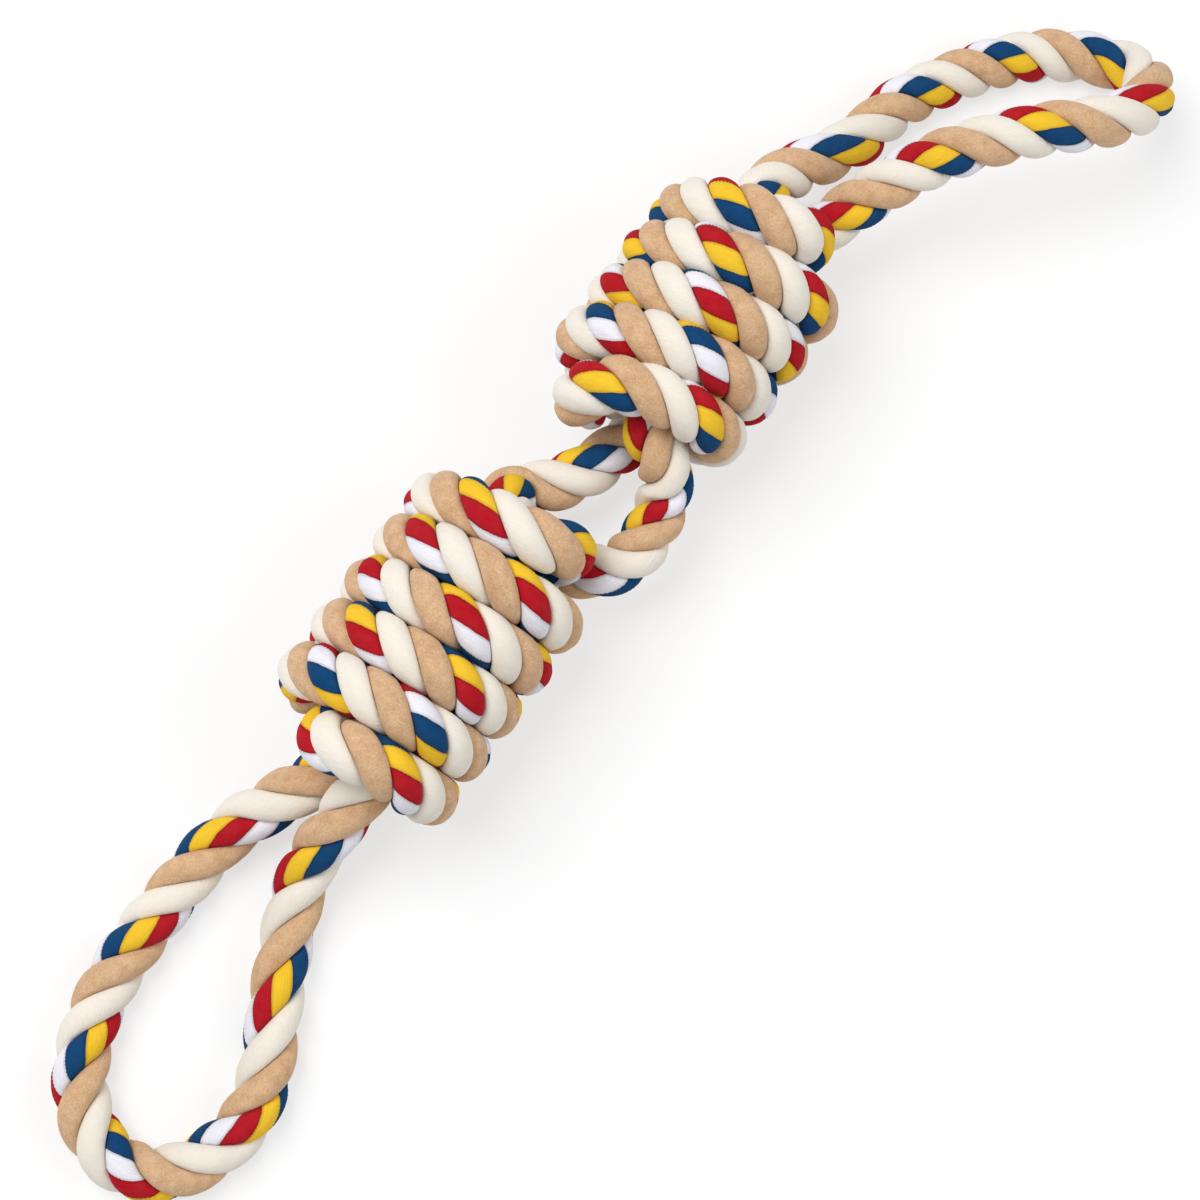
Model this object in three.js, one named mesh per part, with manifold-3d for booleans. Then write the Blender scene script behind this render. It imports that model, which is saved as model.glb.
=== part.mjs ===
// Rope dog toy: one closed ring of three-strand rope. It is laid as two carrying loops, a barrel knot
// behind each loop, and two bare legs between the knots.
// Millimetres, +Z up, resting on z = 0, the long way of the toy along X.
import * as THREE from 'three';
import Module from 'manifold-3d';

// Rope
const ropeDiameter = 16;
const ropeRadius = ropeDiameter / 2;
const turnClearance = 0.5;
const flatDepth = ropeDiameter / 10;
const floorHeight = ropeRadius - flatDepth;

// Barrel knots: three runs of rope in the core, one winding around them
const coreRadius = 10.05;
const settle = 0.5;
const windingRadius = coreRadius + ropeDiameter + turnClearance + settle;
const turnLead = ropeDiameter + turnClearance;
const knotHeight = windingRadius - settle + floorHeight;
const stepsPerTurn = 24;
const windingStart = 15;
const coreSlots = { out: -5, loop: 115, in: -125 };
const corePoints = 7;

// The line of the rope is averaged over a short reach, as a stiff rope rounds its own corners
const lineStep = 2;
const smoothLength = 6;
const smoothPasses = 2;
const pointsPerSpan = 6;

// Tubes
const windingSides = 6;
const freeSides = 10;
const freeStep = 14;
const coreStep = 30;
const endGap = 0.22;
const straightEnd = ropeDiameter * 0.9;

// What lies below the floor is cut from the tubes, as the rope is pressed flat there
const floorSize = 800;
const floorDepth = 40;

// The layout below is drawn about a point of its own, which is moved to the middle of the toy
const middleX = 12.5;
const middleY = 18.3;

// Centre and heading are of the knot's own x axis, which points out towards its loop.
// The turn counts end each winding near the top of its knot. The twist turns the core from end to end.
// The lean tilts every turn of a winding, and tilted turns need a longer lead to clear each other.
const knots = {
  lower: { centre: [-53, 28], heading: 187, turns: 5 + 15 / 360, twist: -50, lead: turnLead, lean: 0 },
  upper: { centre: [81, 37], heading: 6, turns: 4 + 30 / 360, twist: -60, lead: turnLead + 0.5, lean: 4.5 },
};

// Bends of the rope at the knots, in rope diameters.
// At an inner or outer end: x past that end, then y and z from the knot's axis.
const bights = {
  lower: [
    [0, 0.7, -0.08], [-0.3, 0.96, 0.18], [-0.42, 1.06, 0.7],
    [-0.28, 0.96, 1.22], [-0.12, 0.66, 1.52],
  ],
  upper: [
    [0, 0.58, -0.06], [-0.5, 0.84, 0.14], [-0.7, 0.98, 0.64],
    [-0.52, 0.98, 1.2], [-0.26, 0.66, 1.52],
  ],
};
const entries = {
  lower: [
    [-0.72, 1.84, -0.5], [-0.42, 1.4, -0.86], [-0.36, 0.68, -1.08],
    [-0.18, -0.02, -0.92], [0.22, -0.4, -0.44],
  ],
  upper: [[-1.06, -0.1, -0.54], [-0.46, -0.28, -0.7], [0, -0.32, -0.52]],
};
const loopExits = {
  lower: [[0.54, -0.26, -0.7], [1.16, -0.52, -0.82]],
  upper: [[0.42, -0.48, -0.72], [1.14, -0.8, -0.28]],
};
const loopReturns = {
  lower: [[1.24, 0.54, -0.3], [0.54, 0.54, 0.08]],
  upper: [[1.5, 0.52, -0.36], [0.78, 0.58, 0.04]],
};
const legExits = {
  lower: [[-0.24, -0.34, 0.52], [-0.66, -0.66, 0.14]],
  upper: [[-0.36, -0.46, 0.52], [-0.48, -1.1, 0.38], [-0.76, -1.4, -0.16]],
};
// At the end of a winding: x past its last turn, way along the turn, way in towards the axis.
const dives = {
  lower: [[0.14, 0.32, 0.14], [0.14, 0.58, 0.52], [0.04, 0.66, 0.86], [-0.3, 0.48, 1.3]],
  upper: [[0.2, 0.24, 0.16], [0.24, 0.5, 0.56], [0.12, 0.6, 0.86], [-0.3, 0.48, 1.32]],
};

// Free rope, in millimetres of the layout
const lowerLoop = [
  [-132, 35, 9.5], [-148, 36, 6.6], [-162, 35], [-176, 34], [-189, 32], [-201, 29], [-213, 24], [-223, 17],
  [-230, 8], [-234, -4], [-232, -17], [-222, -26], [-209, -30], [-195, -30], [-181, -23], [-169, -14],
  [-157, -6], [-146, 1, 6.8], [-136, 7, 9.5], [-125, 11, 17],
];
const upperLoop = [
  [161, 23, 38], [176, 17, 42], [192, 8, 44], [207, -2, 44], [222, -13, 41], [240, -20, 32], [254, -18, 20],
  [259, -8, 10], [250, 9], [233, 24], [213, 34], [193, 41, 7.5], [171, 42, 12.5],
];
const legA = [[2, 42, 26], [11, 37, 26], [19, 32, 26]];
const legB = [[32, 6, 27], [22, 3, 27], [11, 1, 27]];
const loops = {
  lower: { points: lowerLoop, bodyStart: 2, bodyEnd: 17 },
  upper: { points: upperLoop, bodyStart: 1, bodyEnd: 11 },
};

function radians(degrees) {
  return degrees * Math.PI / 180;
}

function halfLength(knot) {
  return knot.turns * knot.lead / 2;
}

function polar(x, degrees, radius) {
  const angle = radians(degrees);
  return new THREE.Vector3(x, radius * Math.sin(angle), radius * Math.cos(angle));
}

function toLayout(knot, point) {
  const turned = point.clone().applyAxisAngle(new THREE.Vector3(0, 0, 1), radians(knot.heading));
  return turned.add(new THREE.Vector3(knot.centre[0], knot.centre[1], knotHeight));
}

function endPoints(knot, list, side) {
  const points = [];
  for (const [x, y, z] of list) {
    const local = new THREE.Vector3(x, y, z).multiplyScalar(ropeDiameter);
    local.x += side * halfLength(knot);
    points.push(toLayout(knot, local));
  }
  return points;
}

function coreRun(knot, slot, from, to) {
  const half = halfLength(knot);
  const points = [];
  for (let i = 0; i < corePoints; i += 1) {
    const x = from + (to - from) * i / (corePoints - 1);
    const angle = coreSlots[slot] + knot.twist * (x + half) / (2 * half);
    points.push(toLayout(knot, polar(x, angle, coreRadius)));
  }
  return points;
}

function windingRun(knot) {
  const half = halfLength(knot);
  const count = Math.round(stepsPerTurn * knot.turns);
  const points = [];
  for (let i = 0; i <= count; i += 1) {
    const part = i / count;
    const angle = windingStart - 360 * knot.turns * part;
    const x = -half + 2 * half * part - knot.lean * Math.sin(radians(angle));
    points.push(toLayout(knot, polar(x, angle, windingRadius)));
  }
  return points;
}

function diveRun(knot, list) {
  const angle = radians(windingStart - 360 * knot.turns);
  const outward = new THREE.Vector3(0, Math.sin(angle), Math.cos(angle));
  const onward = new THREE.Vector3(0, -Math.cos(angle), Math.sin(angle));
  const lastTurn = halfLength(knot) - knot.lean * Math.sin(angle);
  const points = [];
  for (const [x, along, inward] of list) {
    const local = new THREE.Vector3(lastTurn + x * ropeDiameter, 0, 0);
    local.addScaledVector(onward, along * ropeDiameter);
    local.addScaledVector(outward, windingRadius - inward * ropeDiameter);
    points.push(toLayout(knot, local));
  }
  return points;
}

function freePoints(list) {
  return list.map(([x, y, z = floorHeight]) => new THREE.Vector3(x, y, z));
}

// The whole ring as one list of points, with the places where it is divided into stretches
const controls = [];
const places = {};

function addPoints(points, startName, endName) {
  if (startName) {
    places[startName] = controls.length;
  }
  controls.push(...points);
  if (endName) {
    places[endName] = controls.length - 1;
  }
}

function addKnotAndLoop(name) {
  const knot = knots[name];
  const half = halfLength(knot);
  const inner = -half + 0.3 * ropeDiameter;
  const outer = half - 0.05 * ropeDiameter;
  addPoints(endPoints(knot, entries[name], -1));
  addPoints(coreRun(knot, 'in', -half + 0.75 * ropeDiameter, outer), `${name} in start`, `${name} in end`);
  addPoints(endPoints(knot, loopExits[name], 1));
  const loop = loops[name];
  places[`${name} body start`] = controls.length + loop.bodyStart;
  places[`${name} body end`] = controls.length + loop.bodyEnd;
  addPoints(freePoints(loop.points));
  addPoints(endPoints(knot, loopReturns[name], 1));
  addPoints(coreRun(knot, 'loop', outer, inner), `${name} loop start`, `${name} loop end`);
  addPoints(endPoints(knot, bights[name], -1));
  addPoints(windingRun(knot));
  addPoints(diveRun(knot, dives[name]));
  addPoints(coreRun(knot, 'out', half - 0.85 * ropeDiameter, inner), `${name} out start`, `${name} out end`);
  addPoints(endPoints(knot, legExits[name], -1));
}

addPoints(freePoints(legA));
addKnotAndLoop('upper');
addPoints(freePoints(legB));
addKnotAndLoop('lower');

function wrapped(list, index) {
  return list[(index % list.length + list.length) % list.length];
}

// A point on the uniform Catmull-Rom span that starts at one point of a closed list
function spanPoint(list, index, t) {
  const p0 = wrapped(list, index - 1);
  const p1 = wrapped(list, index);
  const p2 = wrapped(list, index + 1);
  const p3 = wrapped(list, index + 2);
  const point = p1.clone().multiplyScalar(2);
  point.addScaledVector(p2.clone().sub(p0), t);
  const square = p0.clone().multiplyScalar(2).addScaledVector(p1, -5).addScaledVector(p2, 4).sub(p3);
  point.addScaledVector(square, t * t);
  const cube = p1.clone().multiplyScalar(3).sub(p0).addScaledVector(p2, -3).add(p3);
  point.addScaledVector(cube, t * t * t);
  return point.multiplyScalar(0.5);
}

function splineLine() {
  const line = [];
  for (let i = 0; i < controls.length; i += 1) {
    for (let j = 0; j < pointsPerSpan; j += 1) {
      line.push(spanPoint(controls, i, j / pointsPerSpan));
    }
  }
  return line;
}

function lengthsAlong(line) {
  const lengths = [0];
  for (let i = 0; i < line.length; i += 1) {
    lengths.push(lengths[i] + line[i].distanceTo(wrapped(line, i + 1)));
  }
  return lengths;
}

function spacedLine(line, lengths) {
  const total = lengths[line.length];
  const count = Math.round(total / lineStep);
  const spaced = [];
  let span = 0;
  for (let i = 0; i < count; i += 1) {
    const target = total * i / count;
    while (lengths[span + 1] < target) {
      span += 1;
    }
    const part = (target - lengths[span]) / (lengths[span + 1] - lengths[span]);
    spaced.push(line[span].clone().lerp(wrapped(line, span + 1), part));
  }
  return spaced;
}

function smoothedLine(line) {
  const reach = smoothLength / lineStep;
  const whole = Math.floor(reach);
  const rest = reach - whole;
  let current = line;
  for (let pass = 0; pass < smoothPasses; pass += 1) {
    const next = [];
    for (let i = 0; i < current.length; i += 1) {
      const mean = new THREE.Vector3();
      for (let j = -whole; j <= whole; j += 1) {
        mean.add(wrapped(current, i + j));
      }
      mean.addScaledVector(wrapped(current, i - whole - 1), rest);
      mean.addScaledVector(wrapped(current, i + whole + 1), rest);
      next.push(mean.divideScalar(2 * reach + 1));
    }
    current = next;
  }
  return current;
}

const drawnLine = splineLine();
const drawnLengths = lengthsAlong(drawnLine);
const ropeLine = smoothedLine(spacedLine(drawnLine, drawnLengths));
for (const point of ropeLine) {
  point.x -= middleX;
  point.y -= middleY;
}
const ropeLengths = lengthsAlong(ropeLine);
const ropeTotal = ropeLengths[ropeLine.length];

function placeAlong(name) {
  const share = drawnLengths[places[name] * pointsPerSpan] / drawnLengths[drawnLine.length];
  const exact = share * ropeLine.length;
  const index = Math.floor(exact);
  return ropeLengths[index] + (exact - index) * (ropeLengths[index + 1] - ropeLengths[index]);
}

function pointAlong(distance) {
  const target = (distance % ropeTotal + ropeTotal) % ropeTotal;
  let low = 0;
  let high = ropeLine.length;
  while (high - low > 1) {
    const middle = Math.floor((low + high) / 2);
    if (ropeLengths[middle] <= target) {
      low = middle;
    } else {
      high = middle;
    }
  }
  const part = (target - ropeLengths[low]) / (ropeLengths[low + 1] - ropeLengths[low]);
  return spanPoint(ropeLine, low, part);
}

class RopeStretch extends THREE.Curve {
  constructor(start, end) {
    super();
    this.start = start + endGap;
    this.span = (end - start + ropeTotal) % ropeTotal - 2 * endGap;
  }

  getPoint(t, target = new THREE.Vector3()) {
    return target.copy(pointAlong(this.start + this.span * t));
  }
}

function freeTube(stretch, step) {
  const outline = new THREE.Shape();
  for (let i = 0; i < freeSides; i += 1) {
    const angle = 2 * Math.PI * i / freeSides;
    const method = i === 0 ? 'moveTo' : 'lineTo';
    outline[method](ropeRadius * Math.cos(angle), ropeRadius * Math.sin(angle));
  }
  outline.closePath();
  const steps = Math.max(2, Math.round(stretch.span / step));
  return new THREE.ExtrudeGeometry(outline, { steps, bevelEnabled: false, extrudePath: stretch });
}

// A winding is one unbroken tube: rings of corner points joined side by side, closed at both ends
function windingTube(stretch) {
  const step = 2 * Math.PI * windingRadius / stepsPerTurn;
  const steps = Math.round(stretch.span / step);
  const frames = stretch.computeFrenetFrames(steps, false);
  const positions = [];
  const faces = [];
  for (let i = 0; i <= steps; i += 1) {
    const centre = stretch.getPointAt(i / steps);
    for (let j = 0; j < windingSides; j += 1) {
      const angle = 2 * Math.PI * j / windingSides;
      const corner = centre.clone();
      corner.addScaledVector(frames.normals[i], ropeRadius * Math.cos(angle));
      corner.addScaledVector(frames.binormals[i], ropeRadius * Math.sin(angle));
      positions.push(corner.x, corner.y, corner.z);
    }
  }
  for (let i = 0; i < steps; i += 1) {
    for (let j = 0; j < windingSides; j += 1) {
      const a = i * windingSides + j;
      const b = i * windingSides + (j + 1) % windingSides;
      faces.push(a, b, b + windingSides, a, b + windingSides, a + windingSides);
    }
  }
  const last = steps * windingSides;
  for (let j = 1; j < windingSides - 1; j += 1) {
    faces.push(0, j + 1, j, last, last + j, last + j + 1);
  }
  const geometry = new THREE.BufferGeometry();
  geometry.setAttribute('position', new THREE.Float32BufferAttribute(positions, 3));
  geometry.setIndex(faces);
  return geometry;
}

const wasm = await Module();
wasm.setup();

// Merges the points that a geometry repeats and leaves only their positions
function toManifold(geometry) {
  const source = geometry.getAttribute('position');
  const order = geometry.getIndex();
  const count = order ? order.count : source.count;
  const seen = new Map();
  const positions = [];
  const faces = [];
  for (let i = 0; i < count; i += 1) {
    const index = order ? order.getX(i) : i;
    const point = [source.getX(index), source.getY(index), source.getZ(index)];
    const key = point.map((value) => Math.round(value * 10000)).join(' ');
    if (!seen.has(key)) {
      seen.set(key, positions.length / 3);
      positions.push(...point);
    }
    faces.push(seen.get(key));
  }
  const mesh = new wasm.Mesh({
    numProp: 3,
    vertProperties: new Float32Array(positions),
    triVerts: new Uint32Array(faces),
  });
  return new wasm.Manifold(mesh);
}

function toGeometry(solid) {
  const mesh = solid.getMesh();
  const geometry = new THREE.BufferGeometry();
  geometry.setAttribute('position', new THREE.BufferAttribute(mesh.vertProperties, 3));
  geometry.setIndex(new THREE.BufferAttribute(mesh.triVerts, 1));
  return geometry;
}

const belowFloor = new THREE.BoxGeometry(floorSize, floorSize, floorDepth);
belowFloor.translate(0, 0, -floorDepth / 2);
const floorCutter = toManifold(belowFloor);

function pressedFlat(geometry) {
  return toGeometry(toManifold(geometry).subtract(floorCutter));
}

const toy = new THREE.Group();
toy.name = 'rope_dog_toy';

function addNode(name, geometry, colour) {
  geometry.computeVertexNormals();
  const mesh = new THREE.Mesh(geometry, new THREE.MeshStandardMaterial({ color: colour, roughness: 0.95 }));
  mesh.name = name;
  toy.add(mesh);
}

const ropeColour = 0xe0d2bf;
const coreColour = 0xc8a078;

function addStretches(name, nextName, legName) {
  const at = (place) => placeAlong(`${name} ${place}`);
  const coreEnd = at('loop end') - straightEnd;
  const coreAgain = at('out start') + straightEnd;
  const passIn = new RopeStretch(at('in start'), at('in end'));
  const neckOut = new RopeStretch(at('in end'), at('body start'));
  const body = new RopeStretch(at('body start'), at('body end'));
  const neckBack = new RopeStretch(at('body end'), at('loop start'));
  const passLoop = new RopeStretch(at('loop start'), coreEnd);
  const winding = new RopeStretch(coreEnd, coreAgain);
  const passOut = new RopeStretch(coreAgain, at('out end'));
  const leg = new RopeStretch(at('out end'), placeAlong(`${nextName} in start`));
  addNode(`${name}_core_in`, freeTube(passIn, coreStep), coreColour);
  addNode(`${name}_neck_out`, pressedFlat(freeTube(neckOut, freeStep)), ropeColour);
  addNode(`${name}_loop`, pressedFlat(freeTube(body, freeStep)), ropeColour);
  addNode(`${name}_neck_back`, pressedFlat(freeTube(neckBack, freeStep)), ropeColour);
  addNode(`${name}_core_back`, freeTube(passLoop, coreStep), coreColour);
  addNode(`${name}_winding`, pressedFlat(windingTube(winding)), ropeColour);
  addNode(`${name}_core_out`, freeTube(passOut, coreStep), coreColour);
  addNode(legName, freeTube(leg, freeStep), ropeColour);
}

addStretches('upper', 'lower', 'leg_b');
addStretches('lower', 'upper', 'leg_a');

// Least gap of the rope to itself, between places more than one and a half turns of its own width apart
function leastGap() {
  let least = Infinity;
  for (let i = 0; i < ropeLine.length; i += 1) {
    for (let j = i + 1; j < ropeLine.length; j += 1) {
      const apart = ropeLengths[j] - ropeLengths[i];
      if (Math.min(apart, ropeTotal - apart) > 1.6 * ropeDiameter) {
        least = Math.min(least, ropeLine[i].distanceToSquared(ropeLine[j]));
      }
    }
  }
  return Math.sqrt(least) - ropeDiameter;
}

console.log(`rope length ${ropeTotal.toFixed(0)} mm, least gap to itself ${leastGap().toFixed(2)} mm`);

export default toy;
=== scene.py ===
# %% [markdown]
# Rope dog toy
#
# The toy is one closed ring of thick cotton rope, tied into a wide loop, a barrel knot, two bare
# legs, a second barrel knot and a slim loop. Nothing is glued or sewn on: every shape in it is the
# same rope. A curve with a round bevel would be quick to make, but it gives a smooth hose. So this
# lesson works out one line for the rope first, and then lays three shaped strands round that line.

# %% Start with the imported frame
import math

import bpy
import numpy as np
from mathutils import Matrix, Vector, noise


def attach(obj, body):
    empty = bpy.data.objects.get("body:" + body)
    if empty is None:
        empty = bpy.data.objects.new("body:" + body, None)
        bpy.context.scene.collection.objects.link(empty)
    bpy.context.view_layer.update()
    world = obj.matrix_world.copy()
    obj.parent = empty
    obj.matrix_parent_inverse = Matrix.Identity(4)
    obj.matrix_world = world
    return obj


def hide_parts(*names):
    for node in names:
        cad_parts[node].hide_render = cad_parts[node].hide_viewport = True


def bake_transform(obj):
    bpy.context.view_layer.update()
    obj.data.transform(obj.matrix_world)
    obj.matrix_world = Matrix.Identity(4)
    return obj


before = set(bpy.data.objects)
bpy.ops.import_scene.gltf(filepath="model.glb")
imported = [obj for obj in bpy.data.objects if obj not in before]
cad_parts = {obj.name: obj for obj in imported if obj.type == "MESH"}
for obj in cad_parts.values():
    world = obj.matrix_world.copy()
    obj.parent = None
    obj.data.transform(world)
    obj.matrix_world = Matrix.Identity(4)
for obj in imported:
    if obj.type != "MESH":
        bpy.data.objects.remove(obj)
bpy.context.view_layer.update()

# %% [markdown]
# Camera
#
# The photo looks almost straight down, and the toy runs from its lower left to its upper right. A
# camera could be turned by hand until the picture fits. Here its place and target are written in
# millimetres and its directions are worked out from them, so that the roll is an exact angle.

# %% Make the camera
MM = 0.001
CAMERA_PLACE = np.array([-151.4, -18.3, 787.8]) * MM
CAMERA_TARGET = np.array([-12.5, -18.3, 0.0]) * MM
camera_data = bpy.data.cameras.new("camera")
camera_data.sensor_width = 36
camera_data.lens = 73.125
camera_data.clip_start = 0.01
camera = bpy.data.objects.new("camera", camera_data)
bpy.context.scene.collection.objects.link(camera)
bpy.context.scene.camera = camera
bpy.context.scene.view_settings.view_transform = "Standard"
forward = CAMERA_TARGET - CAMERA_PLACE
print("camera is", round(float(np.linalg.norm(forward)) / MM), "mm from the toy")

# %% Aim the camera
CAMERA_ROLL = math.radians(43)
forward = forward / np.linalg.norm(forward)
level = np.array([0.0, -1.0, 0.0])
upward = np.cross(level, forward)
picture_right = math.cos(CAMERA_ROLL) * level + math.sin(CAMERA_ROLL) * upward
picture_up = np.cross(picture_right, forward)
camera_turn = np.column_stack([picture_right, picture_up, -forward])
camera_matrix = Matrix(camera_turn.tolist()).to_4x4()
camera_matrix.translation = CAMERA_PLACE.tolist()
camera.matrix_world = camera_matrix
print("camera looks", round(math.degrees(math.asin(-forward[2])), 1), "degrees below level")

# %% [markdown]
# Size of the rope
#
# Both knots take their size from the rope's diameter. Their turns lie at least half a millimetre
# apart, and rope that lies on the floor is pressed flat by a tenth of its diameter. The sizes could
# be measured from the solid model, but naming them shows where they come from.

# %% Name the rope's sizes
ROPE = 16 * MM
FLOOR_HEIGHT = ROPE / 2 - ROPE / 10
TURN_CLEARANCE = 0.5 * MM
TURN_LEAD = ROPE + TURN_CLEARANCE
SETTLE = 0.5 * MM
CORE_RADIUS = 10.05 * MM
WINDING_RADIUS = CORE_RADIUS + ROPE + TURN_CLEARANCE + SETTLE
KNOT_HEIGHT = WINDING_RADIUS - SETTLE + FLOOR_HEIGHT
print("turns are wound at a radius of", round(WINDING_RADIUS / MM, 2), "mm")

# %% [markdown]
# Places on a knot
#
# Each knot lies at a heading of its own, so its points are easiest to write in its own directions:
# x along the knot, y across it and z up. Points parented to a turned empty would do the same in the
# viewport. Functions keep them as plain numbers, which can be joined into one line. A knot's centre
# is in millimetres, and its heading and the twist of its core are in degrees. The lead is how far one
# turn goes along the knot, and the lean is how far the turns tip to one side.

# %% Place points on a knot
KNOTS = {
    "lower": {
        "centre": (-53, 28),
        "heading": 187,
        "turns": 5 + 15 / 360,
        "twist": -50,
        "lead": TURN_LEAD,
        "lean": 0.0,
    },
    "upper": {
        "centre": (81, 37),
        "heading": 6,
        "turns": 4 + 30 / 360,
        "twist": -60,
        "lead": TURN_LEAD + 0.5 * MM,
        "lean": 4.5 * MM,
    },
}


def half_length(knot):
    return knot["turns"] * knot["lead"] / 2


def polar(x, degrees, radius):
    angle = math.radians(degrees)
    return np.array([x, radius * math.sin(angle), radius * math.cos(angle)])


def to_layout(knot, point):
    angle = math.radians(knot["heading"])
    x = point[0] * math.cos(angle) - point[1] * math.sin(angle)
    y = point[0] * math.sin(angle) + point[1] * math.cos(angle)
    return np.array([x + knot["centre"][0] * MM, y + knot["centre"][1] * MM, point[2] + KNOT_HEIGHT])


for knot_name, knot in KNOTS.items():
    print(knot_name, "knot:", round(2 * half_length(knot) / MM), "mm from its first turn to its last")

# %% [markdown]
# Turns and core
#
# In a barrel knot, tight turns run round three passes of the same rope, which lie side by side and
# twist a little along the knot. The last turn dives back into the core. A Screw modifier could make
# the turns, but not the bends that lead into them. So the turns are points on a helix, and the core
# passes are points in three slots, at angles round the knot.

# %% Run three passes through the core
CORE_SLOTS = {"out": -5, "loop": 115, "in": -125}
CORE_POINTS = 7


def core_run(knot, slot, start, end):
    half = half_length(knot)
    run = []
    for x in np.linspace(start, end, CORE_POINTS):
        angle = CORE_SLOTS[slot] + knot["twist"] * (x + half) / (2 * half)
        run.append(to_layout(knot, polar(x, angle, CORE_RADIUS)))
    return run


print("passes in each core:", len(CORE_SLOTS))

# %% Wind the turns and dive into the core
STEPS_PER_TURN = 24
WINDING_START = 15


def winding_run(knot):
    half = half_length(knot)
    count = round(STEPS_PER_TURN * knot["turns"])
    run = []
    for part in np.linspace(0, 1, count + 1):
        angle = WINDING_START - 360 * knot["turns"] * part
        x = -half + 2 * half * part - knot["lean"] * math.sin(math.radians(angle))
        run.append(to_layout(knot, polar(x, angle, WINDING_RADIUS)))
    return run


def dive_run(knot, points):
    """Points from the last turn inwards: along the knot, onward round it, and in to its middle."""
    angle = math.radians(WINDING_START - 360 * knot["turns"])
    outward = np.array([0, math.sin(angle), math.cos(angle)])
    onward = np.array([0, -math.cos(angle), math.sin(angle)])
    last_turn = half_length(knot) - knot["lean"] * math.sin(angle)
    run = []
    for x, along, inward in points:
        point = np.array([last_turn + x * ROPE, 0, 0])
        point = point + onward * along * ROPE + outward * (WINDING_RADIUS - inward * ROPE)
        run.append(to_layout(knot, point))
    return run


for knot_name, knot in KNOTS.items():
    print(knot_name, "winding has", len(winding_run(knot)), "points")

# %% [markdown]
# Bends at the knots
#
# Between the straight runs the rope bends: in from a leg, out to a loop and back, up on to the
# winding, down into the core and out to the next leg. A simulation could pull the knots tight, but
# it would not land on the photo. The bends are the solid model's points, in rope diameters from the
# knot's end, or from its last turn for the dives.

# %% List the bends at the knots
ENTRIES = {
    "lower": [
        (-0.72, 1.84, -0.5), (-0.42, 1.4, -0.86), (-0.36, 0.68, -1.08),
        (-0.18, -0.02, -0.92), (0.22, -0.4, -0.44),
    ],
    "upper": [(-1.06, -0.1, -0.54), (-0.46, -0.28, -0.7), (0, -0.32, -0.52)],
}
LOOP_EXITS = {
    "lower": [(0.54, -0.26, -0.7), (1.16, -0.52, -0.82)],
    "upper": [(0.42, -0.48, -0.72), (1.14, -0.8, -0.28)],
}
LOOP_RETURNS = {
    "lower": [(1.24, 0.54, -0.3), (0.54, 0.54, 0.08)],
    "upper": [(1.5, 0.52, -0.36), (0.78, 0.58, 0.04)],
}
BIGHTS = {
    "lower": [
        (0, 0.7, -0.08), (-0.3, 0.96, 0.18), (-0.42, 1.06, 0.7),
        (-0.28, 0.96, 1.22), (-0.12, 0.66, 1.52),
    ],
    "upper": [
        (0, 0.58, -0.06), (-0.5, 0.84, 0.14), (-0.7, 0.98, 0.64),
        (-0.52, 0.98, 1.2), (-0.26, 0.66, 1.52),
    ],
}
DIVES = {
    "lower": [(0.14, 0.32, 0.14), (0.14, 0.58, 0.52), (0.04, 0.66, 0.86), (-0.3, 0.48, 1.3)],
    "upper": [(0.2, 0.24, 0.16), (0.24, 0.5, 0.56), (0.12, 0.6, 0.86), (-0.3, 0.48, 1.32)],
}
LEG_EXITS = {
    "lower": [(-0.24, -0.34, 0.52), (-0.66, -0.66, 0.14)],
    "upper": [(-0.36, -0.46, 0.52), (-0.48, -1.1, 0.38), (-0.76, -1.4, -0.16)],
}
all_bends = (ENTRIES, LOOP_EXITS, LOOP_RETURNS, BIGHTS, DIVES, LEG_EXITS)
print("points in the bends:", sum(len(points) for bend in all_bends for points in bend.values()))

# %% [markdown]
# Free rope
#
# The two loops and the two legs are bare rope. The wide loop lies on the floor. The slim loop stands
# up on one side and comes down to the floor on the other. A curve could be dragged into this shape
# in the viewport. A list of points in millimetres, the same as in the solid model, keeps both models
# together. A point with no height of its own lies on the floor.

# %% List the free rope
LOOPS = {
    "lower": [
        (-132, 35, 9.5), (-148, 36, 6.6), (-162, 35), (-176, 34), (-189, 32), (-201, 29), (-213, 24),
        (-223, 17), (-230, 8), (-234, -4), (-232, -17), (-222, -26), (-209, -30), (-195, -30),
        (-181, -23), (-169, -14), (-157, -6), (-146, 1, 6.8), (-136, 7, 9.5), (-125, 11, 17),
    ],
    "upper": [
        (161, 23, 38), (176, 17, 42), (192, 8, 44), (207, -2, 44), (222, -13, 41), (240, -20, 32),
        (254, -18, 20), (259, -8, 10), (250, 9), (233, 24), (213, 34), (193, 41, 7.5), (171, 42, 12.5),
    ],
}
LEG_A = [(2, 42, 26), (11, 37, 26), (19, 32, 26)]
LEG_B = [(32, 6, 27), (22, 3, 27), (11, 1, 27)]


def free_points(points):
    placed = []
    for point in points:
        height = point[2] * MM if len(point) == 3 else FLOOR_HEIGHT
        placed.append(np.array([point[0] * MM, point[1] * MM, height]))
    return placed


for loop_name, points in LOOPS.items():
    print(loop_name, "loop has", len(free_points(points)), "points")

# %% [markdown]
# Route
#
# The ring is read in the order that the rope is tied: along a leg, in through a knot, round its
# loop, back through the knot, up and round the winding, out through the core and on to the next leg.
# Each stretch could be a curve of its own, but then their ends would have to be matched. One list of
# points has no ends. The seats say how far inside a knot each straight run starts, and some points
# are marked by name, to find them again on the finished line.

# %% Keep the points of the route
controls = []
marks = {}


def add_points(points, start_name=None, end_name=None):
    if start_name:
        marks[start_name] = len(controls)
    controls.extend(points)
    if end_name:
        marks[end_name] = len(controls) - 1


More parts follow.
